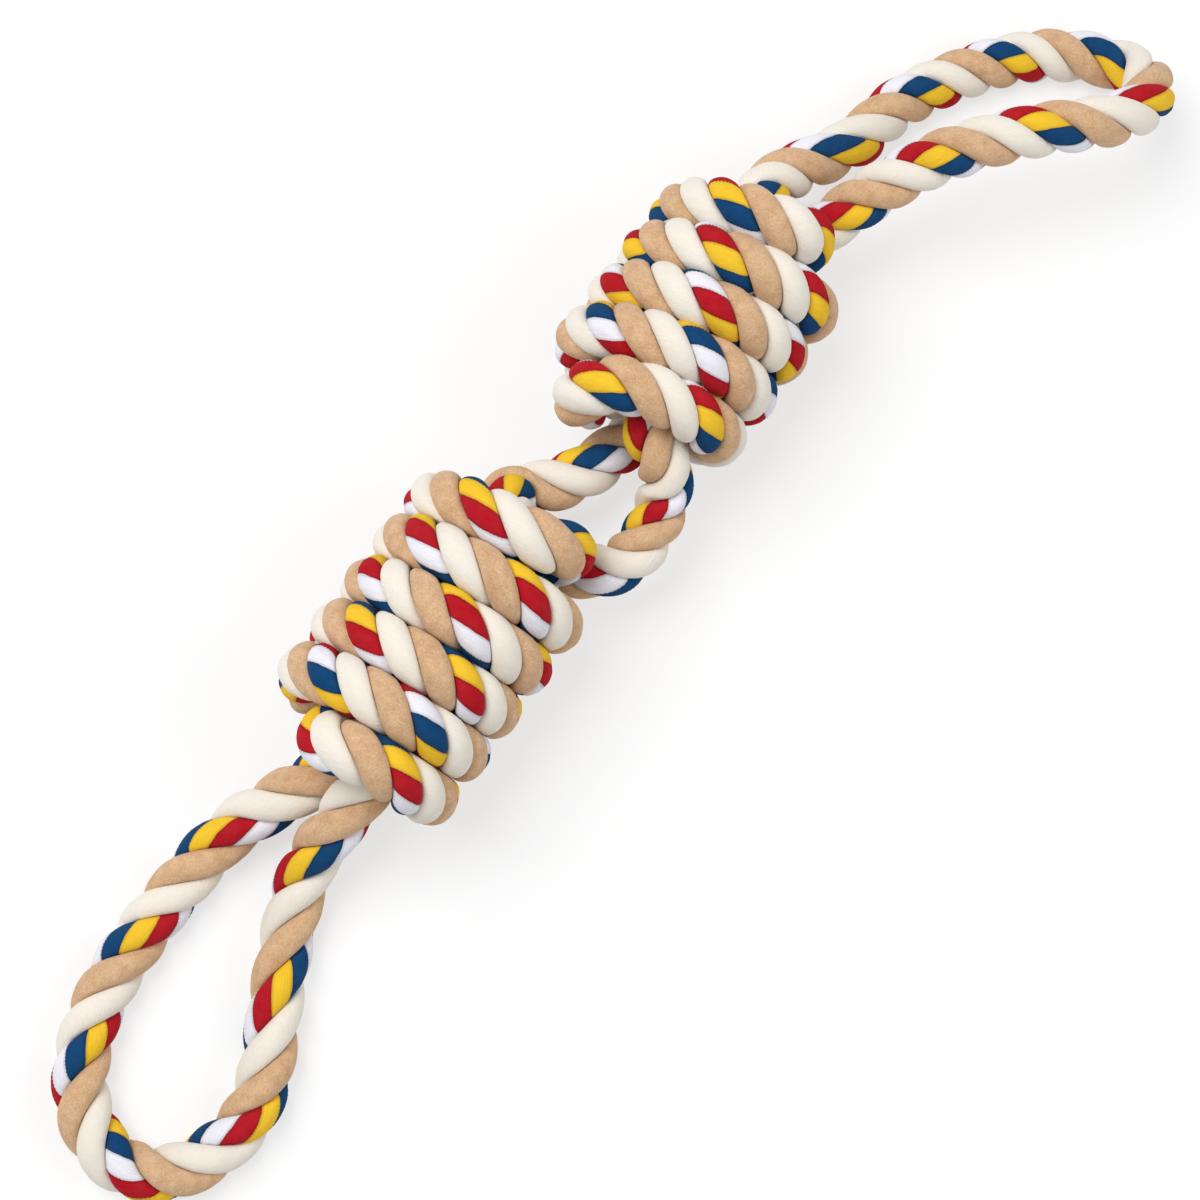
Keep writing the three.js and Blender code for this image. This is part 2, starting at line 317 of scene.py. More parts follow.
def end_points(knot, points, side):
    offset = np.array([side * half_length(knot), 0, 0])
    return [to_layout(knot, np.array(point) * ROPE + offset) for point in points]


add_points(free_points(LEG_A))
print("the first leg gives", len(controls), "points")

# %% Join the points into one route
ENTRY_SEAT = 0.75 * ROPE
LOOP_SEAT = 0.05 * ROPE
INNER_SEAT = 0.3 * ROPE
DIVE_SEAT = 0.85 * ROPE


def add_knot_and_loop(name):
    knot = KNOTS[name]
    half = half_length(knot)
    inner = -half + INNER_SEAT
    outer = half - LOOP_SEAT
    way_in = core_run(knot, "in", -half + ENTRY_SEAT, outer)
    way_back = core_run(knot, "loop", outer, inner)
    way_out = core_run(knot, "out", half - DIVE_SEAT, inner)
    add_points(end_points(knot, ENTRIES[name], -1))
    add_points(way_in, name + " in start", name + " in end")
    add_points(end_points(knot, LOOP_EXITS[name], 1))
    add_points(free_points(LOOPS[name]))
    add_points(end_points(knot, LOOP_RETURNS[name], 1))
    add_points(way_back, name + " loop start", name + " loop end")
    add_points(end_points(knot, BIGHTS[name], -1))
    add_points(winding_run(knot), name + " winding start", name + " winding end")
    add_points(dive_run(knot, DIVES[name]))
    add_points(way_out, name + " out start", name + " out end")
    add_points(end_points(knot, LEG_EXITS[name], -1))


add_knot_and_loop("upper")
add_points(free_points(LEG_B))
add_knot_and_loop("lower")
print("the whole route has", len(controls), "points")

# %% [markdown]
# Line of the rope
#
# A stiff rope rounds its own corners. A Blender curve rounds them too, but its lengths are harder to
# read back. Here a smooth curve goes through the points, is divided evenly every two millimetres, and
# each sample is then averaged with its neighbours. Last, the toy is moved to the middle of the frame.

# %% Draw a smooth curve through the points
POINTS_PER_SPAN = 6


def curve_terms(before, here, after, later):
    """The square and cube terms of a smooth curve from here to after."""
    square = 2 * before - 5 * here + 4 * after - later
    cube = 3 * here - before - 3 * after + later
    return square, cube


def spline_line(points):
    before = np.roll(points, 1, axis=0)
    after = np.roll(points, -1, axis=0)
    later = np.roll(points, -2, axis=0)
    square, cube = curve_terms(before, points, after, later)
    columns = []
    for share in np.arange(POINTS_PER_SPAN) / POINTS_PER_SPAN:
        curve = 2 * points + (after - before) * share + square * share**2 + cube * share**3
        columns.append(0.5 * curve)
    return np.stack(columns, axis=1).reshape(-1, 3)


drawn = spline_line(np.array(controls))
print("the curve has", len(drawn), "points")

# %% Divide the curve evenly and smooth it
LINE_STEP = 2 * MM
SMOOTH_REACH = 3
SMOOTH_PASSES = 2
MIDDLE = np.array([12.5, 18.3, 0]) * MM


def closed_lengths(points):
    gaps = np.linalg.norm(np.roll(points, -1, axis=0) - points, axis=1)
    return np.concatenate([[0], np.cumsum(gaps)])


def spaced_line(points, lengths):
    count = round(lengths[-1] / LINE_STEP)
    targets = lengths[-1] * np.arange(count) / count
    ring = np.vstack([points, points[:1]])
    return np.column_stack([np.interp(targets, lengths, ring[:, axis]) for axis in range(3)])


def smoothed_line(points):
    for _ in range(SMOOTH_PASSES):
        shifts = range(-SMOOTH_REACH, SMOOTH_REACH + 1)
        points = sum(np.roll(points, shift, axis=0) for shift in shifts) / len(shifts)
    return points


drawn_lengths = closed_lengths(drawn)
line = smoothed_line(spaced_line(drawn, drawn_lengths)) - MIDDLE
SAMPLES = len(line)
print("the line has", SAMPLES, "samples")

# %% [markdown]
# Places on the line
#
# A place is counted in samples of the line, and may lie between two of them. The count could start
# anywhere on the ring. It starts in the core of the lower knot, because the strands have to begin and
# end somewhere, and there nobody sees it. The join of the real rope is hidden in a knot in the same
# way.

# %% Find places on the line


def raw_place(name):
    return drawn_lengths[marks[name] * POINTS_PER_SPAN] / drawn_lengths[-1] * SAMPLES


seam = round((raw_place("lower out start") + raw_place("lower out end")) / 2)
line = np.roll(line, -seam, axis=0)
sample_length = closed_lengths(line)[-1] / SAMPLES


def place(name):
    return (raw_place(name) - seam) % SAMPLES


print("the whole ring takes", round(SAMPLES * sample_length / MM), "mm of rope")

# %% [markdown]
# Directions along the rope
#
# To lay strands round the line, each sample needs a side direction. Blender's own curves can flip
# theirs where the line turns, which would break the strands. Here the side is carried from sample to
# sample without turning about the line, so that the only twist in the rope is its lay.

# %% Carry a side direction along the line


def carried_sides(points, directions):
    sides = np.zeros_like(points)
    side = np.cross(directions[0], (0.0, 0.0, 1.0))
    sides[0] = side / np.linalg.norm(side)
    for i in range(len(points) - 1):
        step = points[i + 1] - points[i]
        length = step @ step
        mirrored_side = sides[i] - 2 / length * (step @ sides[i]) * step
        mirrored_direction = directions[i] - 2 / length * (step @ directions[i]) * step
        change = directions[i + 1] - mirrored_direction
        size = change @ change
        sides[i + 1] = mirrored_side - 2 / size * (change @ mirrored_side) * change
    return sides


tangents = np.roll(line, -1, axis=0) - np.roll(line, 1, axis=0)
tangents = tangents / np.linalg.norm(tangents, axis=1, keepdims=True)
line_sides = carried_sides(line, tangents)
furthest_lean = float(np.abs(np.sum(line_sides * tangents, axis=1)).max())
print("side directions lean off square by at most", round(furthest_lean, 6))

# %% Read points and directions at any place


def line_at(places):
    """Points, sides and ups at places that may lie between samples."""
    low = np.floor(places).astype(int)
    share = (places - low)[:, None]
    before, here, after, later = (line[(low + shift) % SAMPLES] for shift in (-1, 0, 1, 2))
    square, cube = curve_terms(before, here, after, later)
    points = 0.5 * (2 * here + (after - before) * share + square * share**2 + cube * share**3)
    along = 0.5 * ((after - before) + 2 * square * share + 3 * cube * share**2)
    along = along / np.linalg.norm(along, axis=1, keepdims=True)
    last = np.minimum(low, SAMPLES - 1)
    following = np.minimum(low + 1, SAMPLES - 1)
    side = line_sides[last] * (1 - share) + line_sides[following] * share
    side = side - along * np.sum(side * along, axis=1, keepdims=True)
    side = side / np.linalg.norm(side, axis=1, keepdims=True)
    return points, side, np.cross(along, side)


halfway = line_at(np.array([SAMPLES / 2]))[0][0]
print("halfway round, the rope is", round(float(halfway[2]) / MM, 1), "mm above the floor")

# %% [markdown]
# Lay of the rope
#
# Three strands, one cream, one tan and one of coloured yarns, twist round each other. One even twist
# would be simplest, but rope that is tied by hand opens and closes its lay as it bends. So a short
# table gives, at places read from the photo, the length along the ring in millimetres, the turns of
# the strands so far, and how far the coloured yarns have turned in their strand.

# %% Set the lay along the rope
LAY = [
    (0, -1.3, -0.3), (76, 0.83, -0.1), (213, 4.29, 0.38), (258, 5.61, 0.6), (297, 6.64, 0.62),
    (340, 7.5, 0.4), (375, 8.23, 0.2), (431, 9.95, 0.29), (457, 10.66, 0.3), (490, 11.25, 0.3),
    (654, 16.18, 0.1), (808, 21.2, 0.4), (978, 26.63, 0.48), (1308, 37.05, 0.48), (1333, 37.88, 0.3),
    (1437, 40.79, 0.25), (1483, 42.17, 0.25), (1624, 45.9, -0.05), (1665, 46.72, 0.13),
    (1727, 48.31, 0.42), (1778, 49.6, 0.85), (1835, 51.0, 1.1), (1882, 52.0, 1.38), (1923, 52.8, 1.5),
    (2069, 56.64, 1.43), (2233, 61.43, 1.07), (2399, 66.19, 0.84), (2555, 71.32, 0.81),
    (2725, 76.42, 1.09), (2899, 81.86, 1.45), (2964, 83.7, 1.6),
]
LAY_EASE = 10 * MM
LAY_EASE_STEPS = 9
lay_lengths, lay_turns, yarn_turns = (np.array(column) for column in zip(*LAY))


def eased_table(places, column):
    lengths = places * sample_length
    nearby = [lengths + shift for shift in np.linspace(-LAY_EASE, LAY_EASE, LAY_EASE_STEPS)]
    return np.mean([np.interp(length, lay_lengths * MM, column) for length in nearby], axis=0)


def lay_at(places):
    return eased_table(places, lay_turns) * 2 * math.pi


def yarn_at(places):
    return eased_table(places, yarn_turns)


mean_turn = float((lay_lengths[-1] - lay_lengths[0]) / (lay_turns[-1] - lay_turns[0]))
print("one turn of the lay takes", round(mean_turn, 1), "mm of rope")

# %% [markdown]
# Section of a strand
#
# Each strand fills a third of the rope's round section, with a rounded face on the outside. Three
# bevelled curves would overlap in the middle. Here the section is a lobe drawn in to the rope's
# heart, so that neighbours meet along a groove. Strands are fuller in the turns of a knot, where the
# rope is squeezed, and a little thinner in its core.

# %% Shape the section of a strand
STRANDS = ("cream", "tan", "colour")
STRAND_HALF = math.radians(59.3)
LOBE_POINTS = {"cream": 25, "colour": 41, "tan": 25}
HEART_RADIUS = 0.02 * ROPE
GROOVE_RADIUS = 0.33 * ROPE
FREE_CREST = 0.56 * ROPE
CORE_CREST = 0.5 * ROPE
WINDING_CREST = 0.58 * ROPE
WINDING_GROOVE = 0.38 * ROPE
CREST_EASE = 12 * MM


def smooth_step(value):
    share = np.clip(value, 0, 1)
    return share * share * (3 - 2 * share)


def swell(places, at_ends, inside):
    """A radius along a stretch, eased from its value at both ends."""
    depth = np.minimum(places - places[0], places[-1] - places) * sample_length
    return at_ends + (inside - at_ends) * smooth_step(depth / CREST_EASE)


print("free rope is", round(2 * FREE_CREST / MM, 1), "mm over its strands")

# %% [markdown]
# Yarns
#
# The coloured strand is four plump yarns that run about parallel to the rope, and the plain strands
# have faint yarns too. They could be separate threads. At this size a crease between them reads the
# same, and the strand stays one closed piece. Small lumps in the cotton keep its outline from
# looking machined.

# %% Crease and roughen the strands
YARN_COUNT = 4
YARN_GROOVE = {"cream": 0.08 * MM, "colour": 0.42 * MM, "tan": 0.08 * MM}
YARN_GROOVE_WIDTH = 0.13
LUMPS = ((9 * MM, 0.16 * MM), (3.2 * MM, 0.1 * MM))


def yarn_creases(strand, yarn, sweep):
    edge = np.abs((yarn * YARN_COUNT + 0.5) % 1 - 0.5)
    groove = np.exp(-((edge / YARN_GROOVE_WIDTH) ** 2))
    return YARN_GROOVE[strand] * groove * np.cos(sweep)[None, :]


def lumps(points):
    """Heights of small lumps, the same at the same place in space, so that stretches meet."""
    flat = points.reshape(-1, 3)
    height = np.zeros(len(flat))
    for size, depth in LUMPS:
        height += depth * np.array([noise.noise(Vector(point)) for point in flat / size])
    return height.reshape(points.shape[:-1])


print("yarn creases are up to", round(max(YARN_GROOVE.values()) / MM, 2), "mm deep")

# %% [markdown]
# Pressed turns
#
# Turns that are pulled tight flatten each other where they touch. A cloth or soft body simulation
# could press them, slowly. Here a point that would reach past the middle between two turns is eased
# back to it. The free outside of the first and the last turn stays round.

# %% Press the turns of a winding together
PRESS_GAP = 0.03 * MM
PRESS_SHARPNESS = 24
PRESS_START = 0.8
PRESS_RISE = 0.3


def press_turns(points, centres, places, knot_name):
    """Flatten the turns of a winding where the turns before and after them press on them."""
    knot = KNOTS[knot_name]
    heading = math.radians(knot["heading"])
    axis = np.array([math.cos(heading), math.sin(heading), 0.0])
    first = place(knot_name + " winding start")
    last = place(knot_name + " winding end")
    turns = (places - first) / (last - first) * knot["turns"]
    from_before = smooth_step((turns - PRESS_START) / PRESS_RISE)[:, None]
    from_after = smooth_step((knot["turns"] - turns - PRESS_START) / PRESS_RISE)[:, None]
    offsets = (points - centres[:, None, :]) @ axis
    limit = knot["lead"] / 2 - PRESS_GAP
    over = np.abs(offsets) / limit
    pressed = offsets / (1 + over**PRESS_SHARPNESS) ** (1 / PRESS_SHARPNESS)
    share = np.where(offsets < 0, from_before, from_after)
    return points + ((pressed - offsets) * share)[..., None] * axis


print("pressed turns stay", round(2 * PRESS_GAP / MM, 2), "mm apart")

# %% [markdown]
# Mesh of a strand
#
# A strand is a row of sections, joined by four-sided faces and closed at both ends. Extruding one
# section after another in edit mode gives the same mesh, but takes thousands of steps, so the points
# and faces go in as whole arrays. A UV map named Lay keeps the length along the rope and the turn of
# the yarns for the materials.

# %% Work out the points of a strand
FLOOR_GAP = 0.3 * MM


def strand_points(strand, places, crest, knot_name):
    """The points of each section of a strand, and the turn of the yarns at them."""
    centres, side, up = line_at(places)
    third = 2 * math.pi * STRANDS.index(strand) / len(STRANDS)
    sweep = np.linspace(-math.pi / 2, math.pi / 2, LOBE_POINTS[strand])
    bearing = lay_at(places)[:, None] + third + STRAND_HALF * np.sin(sweep)[None, :]
    yarn = bearing / math.pi + yarn_at(places)[:, None]
    low = swell(places, GROOVE_RADIUS, WINDING_GROOVE if knot_name else GROOVE_RADIUS)[:, None]
    high = swell(places, FREE_CREST, crest)[:, None]
    radius = low + (high - low) * np.cos(sweep)[None, :] - yarn_creases(strand, yarn, sweep)
    across = np.cos(bearing)[..., None] * side[:, None, :] + np.sin(bearing)[..., None] * up[:, None, :]
    smooth_lobe = centres[:, None, :] + radius[..., None] * across
    lobe = smooth_lobe + lumps(smooth_lobe)[..., None] * across
    if knot_name:
        lobe = press_turns(lobe, centres, places, knot_name)
    middle = LOBE_POINTS[strand] // 2
    heart = centres + HEART_RADIUS * across[:, middle, :]
    points = np.concatenate([lobe, heart[:, None, :]], axis=1)
    points[..., 2] = np.maximum(points[..., 2], FLOOR_GAP)
    return points, np.concatenate([yarn, yarn[:, middle : middle + 1]], axis=1)


print("a section of the coloured strand has", LOBE_POINTS["colour"] + 1, "points")

# %% Turn points into a mesh
SHARP_ANGLE = math.radians(50)


def grid_faces(rings, points):
    ring = np.arange(rings - 1)[:, None]
    point = np.arange(points)[None, :]
    following = (point + 1) % points
    corners = [ring * points + point, ring * points + following]
    corners += [(ring + 1) * points + following, (ring + 1) * points + point]
    return np.stack(np.broadcast_arrays(*corners), axis=-1).reshape(-1, 4)


def make_mesh(name, points, faces, caps, lay_map):
    mesh = bpy.data.meshes.new(name)
    corners = np.concatenate([faces.ravel()] + [np.array(cap) for cap in caps]).astype(np.int32)
    sizes = np.concatenate([np.full(len(faces), 4), [len(cap) for cap in caps]])
    starts = np.concatenate([[0], np.cumsum(sizes)[:-1]]).astype(np.int32)
    mesh.vertices.add(len(points))
    mesh.vertices.foreach_set("co", points.astype(np.float32).ravel())
    mesh.loops.add(len(corners))
    mesh.loops.foreach_set("vertex_index", corners)
    mesh.polygons.add(len(sizes))
    mesh.polygons.foreach_set("loop_start", starts)
    mesh.polygons.foreach_set("use_smooth", np.ones(len(sizes), dtype=bool))
    mesh.update(calc_edges=True)
    layer = mesh.uv_layers.new(name="Lay")
    layer.data.foreach_set("uv", lay_map[corners].astype(np.float32).ravel())
    mesh.validate()
    mesh.set_sharp_from_angle(angle=SHARP_ANGLE)
    return mesh


print("edges sharper than", round(math.degrees(SHARP_ANGLE)), "degrees stay sharp")

# %% Build one strand of a stretch
LEAST_RINGS = 3


def make_strand(name, strand, start, end, step, crest, knot_name):
    rings = max(LEAST_RINGS, math.ceil((end - start) * sample_length / step) + 1)
    places = np.linspace(start, end, rings)
    points, yarn = strand_points(strand, places, crest, knot_name)
    along = np.broadcast_to((places * sample_length / MM)[:, None], yarn.shape)
    lay_map = np.stack([along, yarn], axis=-1).reshape(-1, 2)
    count = points.shape[1]
    first_cap = list(range(count))[::-1]
    last_cap = list(range((rings - 1) * count, rings * count))
    faces = grid_faces(rings, count)
    mesh = make_mesh(name, points.reshape(-1, 3), faces, [first_cap, last_cap], lay_map)
    piece = bpy.data.objects.new(name, mesh)
    bpy.context.scene.collection.objects.link(piece)
    return piece


print("the shortest strand has at least", LEAST_RINGS, "sections")

# %% [markdown]
# Colours of the cotton
#
# The rope is undyed cream cotton, tan cotton, and yarns dyed red, yellow, blue and white. Colours
# could be picked by eye in the viewport. Here they are written as the 0 to 255 values of a picture,
# which are easy to compare with the photo, and turned into the linear values that Blender's shaders
# use. The fluff is the paler tone of fibres that stand up.

# %% Name the colours of the cotton


def linear(red, green, blue):
    values = []
    for value in (red, green, blue):
        share = value / 255
        values.append(share / 12.92 if share <= 0.04045 else ((share + 0.055) / 1.055) ** 2.4)
    return (*values, 1.0)


CREAM = linear(237, 230, 218)
TAN = linear(218, 176, 134)
YARNS = [linear(180, 16, 32), linear(243, 198, 48), linear(4, 65, 113), linear(239, 239, 249)]
PALE_FLUFF = linear(249, 247, 243)
TAN_FLUFF = linear(244, 212, 174)
print("cream cotton is", [round(value, 2) for value in CREAM[:3]], "in linear values")

# %% [markdown]
# Shader helpers
#
# Cotton is uneven at several sizes: fine fibres, specks and soft blotches. They could be painted on
# a picture, but that needs an image file. Here each comes from a noise whose middle range is
# stretched to a useful strength, which stays sharp at any distance.

# %% Write the shader helpers
NOISE_LOW = 0.25
NOISE_HIGH = 0.75


def add_node(tree, kind, **values):
    node = tree.nodes.new(kind)
    for key, value in values.items():
        setattr(node, key, value)
    return node


def noise_pattern(tree, vector, scale, detail, rough):
    node = add_node(tree, "ShaderNodeTexNoise")
    node.inputs["Scale"].default_value = scale
    node.inputs["Detail"].default_value = detail
    node.inputs["Roughness"].default_value = rough
    tree.links.new(vector, node.inputs["Vector"])
    return node.outputs["Fac"]


def spread(tree, value, low, high):
    node = add_node(tree, "ShaderNodeMapRange")
    node.inputs["From Min"].default_value = NOISE_LOW
    node.inputs["From Max"].default_value = NOISE_HIGH
    node.inputs["To Min"].default_value = low
    node.inputs["To Max"].default_value = high
    tree.links.new(value, node.inputs["Value"])
    return node.outputs["Result"]


def mixed(tree, kind, factor, first, second):
    node = add_node(tree, "ShaderNodeMix", data_type="RGBA", blend_type=kind)
    # A Mix node has sockets for every type of value. Its colours are inputs 6 and 7 and output 2.
    sockets = (node.inputs[0], node.inputs[6], node.inputs[7])
    for value, socket in zip((factor, first, second), sockets):
        if isinstance(value, bpy.types.NodeSocket):
            tree.links.new(value, socket)
        else:
            socket.default_value = value
    return node.outputs[2]


print("noise from", NOISE_LOW, "to", NOISE_HIGH, "is stretched to a pattern's full strength")

# %% [markdown]
# Coloured yarns
#
# On the real rope the colour is in the yarns, so it follows them round the strand. Four materials on
# four bands of faces would give saw-toothed edges. The UV map says which yarn a point is on, and a
# ramp with four steps gives its colour. Shade is painted into the colour along the crease between
# two yarns.

# %% Colour the yarns


def yarn_colours(tree, around, wander):
    drift = add_node(tree, "ShaderNodeMath", operation="ADD")
    tree.links.new(around, drift.inputs[0])
    tree.links.new(wander, drift.inputs[1])
    share = add_node(tree, "ShaderNodeMath", operation="FRACT")
    tree.links.new(drift.outputs[0], share.inputs[0])
    ramp = add_node(tree, "ShaderNodeValToRGB")
    ramp.color_ramp.interpolation = "CONSTANT"
    ramp.color_ramp.elements.remove(ramp.color_ramp.elements[1])
    ramp.color_ramp.elements[0].position = 0.0
    ramp.color_ramp.elements[0].color = YARNS[0]
    for index in range(1, YARN_COUNT):
        element = ramp.color_ramp.elements.new(index / YARN_COUNT)
        element.color = YARNS[index]
    tree.links.new(share.outputs[0], ramp.inputs["Fac"])
    return ramp.outputs["Color"]


print("the coloured strand has", len(YARNS), "yarns")

# %% Paint shade into the creases between the yarns
CREASE_WIDTH = 0.16
CREASE_SHADE = 0.45


def painted_crease_shade(tree, around):
    yarns = add_node(tree, "ShaderNodeMath", operation="MULTIPLY")
    yarns.inputs[1].default_value = YARN_COUNT
    tree.links.new(around, yarns.inputs[0])
    fold = add_node(tree, "ShaderNodeMath", operation="PINGPONG")
    fold.inputs[1].default_value = 0.5
    tree.links.new(yarns.outputs[0], fold.inputs[0])
    shade = add_node(tree, "ShaderNodeMapRange", interpolation_type="SMOOTHSTEP")
    shade.inputs["From Max"].default_value = CREASE_WIDTH
    shade.inputs["To Min"].default_value = CREASE_SHADE
    shade.inputs["To Max"].default_value = 0.0
    tree.links.new(fold.outputs[0], shade.inputs["Value"])
    return shade.outputs["Result"]


print("a crease is shaded over", CREASE_WIDTH, "of a yarn on each side")

# %% [markdown]
# Cotton
#
# Cotton is matt and a little fuzzy. Hair on every strand would show the fuzz, but would not be
# exported. A rough surface with a low specular level, some sheen, and fibres that shade and bump it
# along the yarns come close. The tan strand has stronger specks and flecks than the cream one, as in
# the photo.

# %% Tone the cotton
FIBRE_SHADE = (0.55, 0.5, 0.45, 1.0)
SPECK_SHADE = (0.5, 0.42, 0.35, 1.0)
# The colour of the shade that is painted into the creases between the yarns
PAINTED_CREASE_SHADE_TONE = (0.35, 0.3, 0.3, 1.0)
FIBRE_SCALE = (0.3, 62.0, 1.0)
BLOTCH_SCALE = 260.0
SPECK_SCALE = 1700.0
YARN_WANDER = 0.006


def cotton_tones(tree, base, shade, specks, fluff, flecks):
    """Cotton's colour, and the fibres that also roughen it."""
    lay = add_node(tree, "ShaderNodeUVMap", uv_map="Lay")
    parts = add_node(tree, "ShaderNodeSeparateXYZ")
    tree.links.new(lay.outputs["UV"], parts.inputs["Vector"])
    stretched = add_node(tree, "ShaderNodeVectorMath", operation="MULTIPLY")
    stretched.inputs[1].default_value = FIBRE_SCALE
    tree.links.new(lay.outputs["UV"], stretched.inputs[0])
    where = add_node(tree, "ShaderNodeTexCoord").outputs["Object"]
    fibres = noise_pattern(tree, stretched.outputs["Vector"], scale=1.0, detail=3.0, rough=0.6)
    blotches = noise_pattern(tree, where, scale=BLOTCH_SCALE, detail=2.0, rough=0.5)
    grain = noise_pattern(tree, where, scale=SPECK_SCALE, detail=1.0, rough=0.5)
    if base is None:
        wander = spread(tree, blotches, -YARN_WANDER, YARN_WANDER)
        base = yarn_colours(tree, parts.outputs["Y"], wander)
        # Painted shade: the colour is darkened along the creases between the yarns
        base = mixed(tree, "MULTIPLY", painted_crease_shade(tree, parts.outputs["Y"]), base, PAINTED_CREASE_SHADE_TONE)
    toned = mixed(tree, "MULTIPLY", spread(tree, fibres, 0.0, shade), base, FIBRE_SHADE)
    toned = mixed(tree, "MIX", spread(tree, blotches, 0.0, flecks), toned, fluff)
    toned = mixed(tree, "MULTIPLY", spread(tree, grain, 0.0, specks), toned, SPECK_SHADE)
    return toned, fibres


print("fibres are", round(1 / FIBRE_SCALE[0], 1), "mm long in the noise")

# %% Mix the cotton materials
COTTON_ROUGHNESS = (0.78, 0.95)
COTTON_SPECULAR = 0.1
SHEEN_ROUGHNESS = 0.6
FIBRE_BUMP = 0.8
FIBRE_HEIGHT = 0.35 * MM


def cotton(name, base, shade, specks, fluff, flecks, fuzz):
    material = bpy.data.materials.new(name)
    material.use_nodes = True
    tree = material.node_tree
    shader = tree.nodes["Principled BSDF"]
    toned, fibres = cotton_tones(tree, base, shade, specks, fluff, flecks)
    tree.links.new(toned, shader.inputs["Base Color"])
    tree.links.new(spread(tree, fibres, *COTTON_ROUGHNESS), shader.inputs["Roughness"])
    shader.inputs["Specular IOR Level"].default_value = COTTON_SPECULAR
    shader.inputs["Sheen Weight"].default_value = fuzz
    shader.inputs["Sheen Roughness"].default_value = SHEEN_ROUGHNESS
    bump = add_node(tree, "ShaderNodeBump")
    bump.inputs["Strength"].default_value = FIBRE_BUMP
    bump.inputs["Distance"].default_value = FIBRE_HEIGHT
    tree.links.new(fibres, bump.inputs["Height"])
    tree.links.new(bump.outputs["Normal"], shader.inputs["Normal"])
    return material


COTTONS = {
    "cream": cotton(
        "cream_cotton", CREAM, shade=0.14, specks=0.05, fluff=PALE_FLUFF, flecks=0.05, fuzz=0.2
    ),
    "tan": cotton("tan_cotton", TAN, shade=0.5, specks=0.45, fluff=TAN_FLUFF, flecks=0.5, fuzz=0.15),
    "colour": cotton(
        "colour_yarns", None, shade=0.25, specks=0.08, fluff=PALE_FLUFF, flecks=0.01, fuzz=0.01
    ),
}
print("cottons:", ", ".join(material.name for material in COTTONS.values()))

# %% [markdown]
# Stretches
#
# The toy bends at its necks and legs, so the ring is divided there. A stretch in a knot or a loop
# rides on that body. A stretch of a neck or a leg lies across one joint; the two planes across the
# rope that bound its bend are listed with it, and the piece stays where it is laid. One long strand
# with an armature would bend as well, but then no piece would ride on a body of its own.

# %% Choose where the rope bends
# Places along x, in metres
BENDS = {
    "lower": {
        "split": -0.140,
        "loop": -0.166,
        "lift": (-0.114, -0.1395),
        "swing": (-0.1405, -0.1645),
    },
    "upper": {
        "split": 0.1415,
        "loop": 0.168,
        "lift": (0.116, 0.141),
        "swing": (0.142, 0.1665),
    },
}
LEG_SPLIT = 0.0065
LEG_BENDS = {"lower": (-0.016, 0.006), "upper": (0.007, 0.029)}


def bend_between(first_body, second_body, planes):
    start, end = ((x, 0.0, 0.0) for x in planes)
    return ("blend", first_body, second_body, start, end)


def crossing(x, start, end):
    """The first place between start and end where the line passes this x."""
    samples = np.arange(math.ceil(start), math.floor(end) + 1)
    offsets = line[samples % SAMPLES, 0] - x
    flips = np.nonzero(np.sign(offsets[:-1]) != np.sign(offsets[1:]))[0]
    first = flips[0]
    share = offsets[first] / (offsets[first] - offsets[first + 1])
    return samples[first] + share


for side_name, bend in BENDS.items():
    neck_length = abs(bend["swing"][1] - bend["lift"][0])
    print(side_name, "neck bends over", round(neck_length / MM, 1), "mm")

# %% Keep a list of stretches
FREE_STEP = 1.0 * MM
CORE_STEP = 2.5 * MM
stretches = []


def add_stretch(name, start, end, node, step, carrier):
    if end < start:
        end += SAMPLES
    stretches.append((name, start, end, node, step, carrier))


print("sections are", FREE_STEP / MM, "mm apart on free rope and", CORE_STEP / MM, "mm in a core")

# %% Divide the knots, necks and loops
STRAIGHT_END = 0.9 * ROPE


def winding_end_place(name):
    return place(name + " out start") + STRAIGHT_END / sample_length


for side_name, bend in BENDS.items():
    knot_body = side_name + "_knot"
    neck_body = side_name + "_neck"
    loop_body = side_name + "_loop"
    in_start = place(side_name + " in start")
    in_end = place(side_name + " in end")
    loop_start = place(side_name + " loop start")
    back_end = place(side_name + " loop end") - STRAIGHT_END / sample_length
    winding_end = winding_end_place(side_name)
    tip = (in_end + loop_start) / 2
    out_split = crossing(bend["split"], in_end, tip)
    out_end = crossing(bend["loop"], in_end, tip)
    back_start = crossing(bend["loop"], tip, loop_start)
    back_split = crossing(bend["split"], tip, loop_start)
    lift = bend_between(knot_body, neck_body, bend["lift"])
    swing = bend_between(neck_body, loop_body, bend["swing"])
    on_knot = ("ride", knot_body)
    on_loop = ("ride", loop_body)
    core_in = side_name + "_core_in"
    core_back = side_name + "_core_back"
    neck_out = side_name + "_neck_out"
    neck_back = side_name + "_neck_back"
    winding = side_name + "_winding"
    add_stretch(core_in, in_start, in_end, core_in, CORE_STEP, on_knot)
    add_stretch(neck_out + "_near", in_end, out_split, neck_out, FREE_STEP, lift)
    add_stretch(neck_out + "_far", out_split, out_end, neck_out, FREE_STEP, swing)
    add_stretch(loop_body, out_end, back_start, loop_body, FREE_STEP, on_loop)
    add_stretch(neck_back + "_far", back_start, back_split, neck_back, FREE_STEP, swing)
    add_stretch(neck_back + "_near", back_split, loop_start, neck_back, FREE_STEP, lift)
    add_stretch(core_back, loop_start, back_end, core_back, CORE_STEP, on_knot)
    add_stretch(winding, back_end, winding_end, winding, FREE_STEP, on_knot)
    print(winding, "takes", round((winding_end - back_end) * sample_length / MM), "mm of rope")

